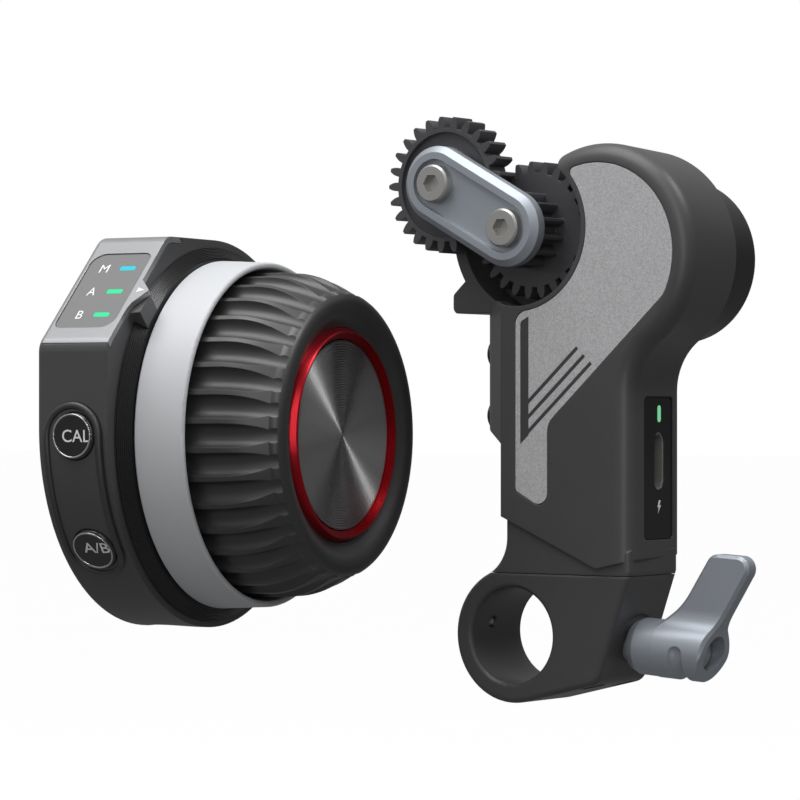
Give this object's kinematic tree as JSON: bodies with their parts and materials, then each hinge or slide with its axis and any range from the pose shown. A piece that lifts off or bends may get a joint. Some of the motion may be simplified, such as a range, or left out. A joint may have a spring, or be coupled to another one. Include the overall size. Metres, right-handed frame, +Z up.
{
  "type": "follow focus unit",
  "caption": "Wireless follow focus set: hand unit with a large focus knob, and a geared motor unit with a swinging idler gear and a quick lever clamp for a 15 mm rod.",
  "frame": {"origin": "centre of the rod bore in the motor unit's clamp", "axes": "+Y along the rod, from the motor unit's face to its back; +Z up the column; +X to the side of the clamp lever"},
  "size_m": [0.0927, 0.0866, 0.0923],
  "materials": {
    "housing_plastic": "satin moulded",
    "clamp_metal": "satin powder coat",
    "panel_metal": "fine sandblast",
    "stripe_ink": "matte",
    "dark_steel": "black oxide",
    "bright_steel": "ground",
    "motor_shell": "dark anodised",
    "gear_polymer": "satin moulded",
    "arm_metal": "grey anodised",
    "bush_brass": "turned",
    "port_gloss": "gloss",
    "light_green": "translucent",
    "light_cyan": "translucent",
    "board_green": "solder mask",
    "button_rubber": "satin",
    "bezel_metal": "satin with a polished edge",
    "window_grey": "satin",
    "key_gloss": "gloss",
    "collar_metal": "black anodised, grooved",
    "marking_white": "satin",
    "grip_rubber": "satin",
    "trim_red": "red anodised",
    "spun_metal": "spun",
    "battery_wrap": "film"
  },
  "bodies": {
    "root": {"motor_housing": "housing_plastic", "face_panel": "panel_metal", "panel_stripes": "stripe_ink", "rear_cover": "housing_plastic", "cover_screws": "dark_steel", "motor_can": "motor_shell", "drive_motor": "bright_steel", "drive_axle": "bright_steel", "port_panel": "port_gloss", "motor_charge_port": "bright_steel", "status_light": "light_green", "motor_board": "board_green", "pod_switches": "board_green", "clamp_block": "clamp_metal", "block_screws": "dark_steel", "stop_ball": "bright_steel", "hand_case": "housing_plastic", "hand_back_cover": "housing_plastic", "back_screws": "dark_steel", "mount_insert": "bright_steel", "display_bezel": "bezel_metal", "display_window": "window_grey", "indicator_lights": "light_cyan", "button_pad": "housing_plastic", "key_switches": "board_green", "grooved_collar": "collar_metal", "shaft_bearings": "bright_steel", "encoder_board": "board_green", "hand_board": "board_green", "hand_battery": "battery_wrap", "hand_charge_port": "bright_steel"},
    "knob": {"marking_ring": "marking_white", "knob_core": "housing_plastic", "knob_grip": "grip_rubber", "trim_ring": "trim_red", "cap_disc": "spun_metal", "knob_shaft": "bright_steel", "encoder_magnet": "dark_steel"},
    "cal_key": {"cal_button": "key_gloss"},
    "ab_key": {"ab_button": "key_gloss"},
    "hand_power_key": {"hand_power_button": "button_rubber"},
    "motor_power_key": {"power_button": "button_rubber"},
    "channel_key": {"channel_button": "button_rubber"},
    "pad": {"rod_pad": "button_rubber"},
    "screw": {"clamp_screw": "bright_steel", "lever_screw": "bright_steel", "lever_spring": "bright_steel"},
    "lever": {"lever_handle": "arm_metal"},
    "drive": {"drive_gear": "gear_polymer"},
    "motor": {"motor_gear": "gear_polymer", "motor_shaft": "bright_steel"},
    "arm": {"gear_arm": "arm_metal", "arm_pivot_screw": "bright_steel", "idler_screw": "bright_steel", "idler_clip": "dark_steel"},
    "bush": {"idler_bush": "bush_brass"},
    "idler": {"idler_gear": "gear_polymer"}
  },
  "joints": [
    {"name": "knob_turn", "type": "hinge", "parent": "root", "child": "knob", "pos_m": [-0.03647, -0.03555, 0.0314], "axis": [0.9885, 0.1513, 0], "continuous": true},
    {"name": "cal_press", "type": "slide", "parent": "root", "child": "cal_key", "axis": [-0.1511, 0.9878, 0.0384], "range_m": [0, 0.0005], "stiffness_N_per_m": 400, "springref_m": -0.0005},
    {"name": "ab_press", "type": "slide", "parent": "root", "child": "ab_key", "axis": [-0.1233, 0.8057, 0.5793], "range_m": [0, 0.0005], "stiffness_N_per_m": 400, "springref_m": -0.0005},
    {"name": "hand_power_press", "type": "slide", "parent": "root", "child": "hand_power_key", "axis": [0.1239, -0.8097, 0.5736], "range_m": [0, 0.0005], "stiffness_N_per_m": 400, "springref_m": -0.0005},
    {"name": "motor_power_press", "type": "slide", "parent": "root", "child": "motor_power_key", "axis": [1, 0, 0], "range_m": [0, 0.0004], "stiffness_N_per_m": 400, "springref_m": -0.0005},
    {"name": "channel_press", "type": "slide", "parent": "root", "child": "channel_key", "axis": [1, 0, 0], "range_m": [0, 0.0004], "stiffness_N_per_m": 400, "springref_m": -0.0005},
    {"name": "pad_slide", "type": "slide", "parent": "root", "child": "pad", "axis": [0.9982, 0, -0.0593], "range_m": [0, 0.001]},
    {"name": "clamp_turn", "type": "hinge", "parent": "pad", "child": "screw", "pos_m": [0, 0, 0], "axis": [0.9982, 0, -0.0593], "range_deg": [-452, 0]},
    {"name": "lever_pull", "type": "slide", "parent": "screw", "child": "lever", "axis": [0.9982, 0, -0.0593], "range_m": [0, 0.0015], "stiffness_N_per_m": 400, "springref_m": -0.001, "deforming": ["lever_spring"]},
    {"name": "drive_turn", "type": "hinge", "parent": "root", "child": "drive", "pos_m": [0.0013, 0, 0.0635], "axis": [0, -1, 0], "continuous": true},
    {"name": "motor_spin", "type": "hinge", "parent": "root", "child": "motor", "pos_m": [0.0159, 0, 0.05926], "axis": [0, -1, 0], "continuous": true},
    {"name": "arm_swing", "type": "hinge", "parent": "root", "child": "arm", "pos_m": [0.0013, 0, 0.0635], "axis": [0, -1, 0], "range_deg": [-52, 38]},
    {"name": "bush_roll", "type": "hinge", "parent": "arm", "child": "bush", "pos_m": [-0.01199, 0, 0.07087], "axis": [0, -1, 0], "range_deg": [-28.2, 20.8]},
    {"name": "idler_spin", "type": "hinge", "parent": "bush", "child": "idler", "pos_m": [-0.01199, 0, 0.07087], "axis": [0, -1, 0], "continuous": true}
  ],
  "couplings": [
    {"joint": "clamp_turn", "follows": "pad_slide", "rad_per_m": -7854},
    {"joint": "motor_spin", "follows": "drive_turn", "ratio": -1.9231},
    {"joint": "idler_spin", "follows": "drive_turn", "ratio": -0.52},
    {"joint": "bush_roll", "follows": "arm_swing", "ratio": 0.52}
  ]
}
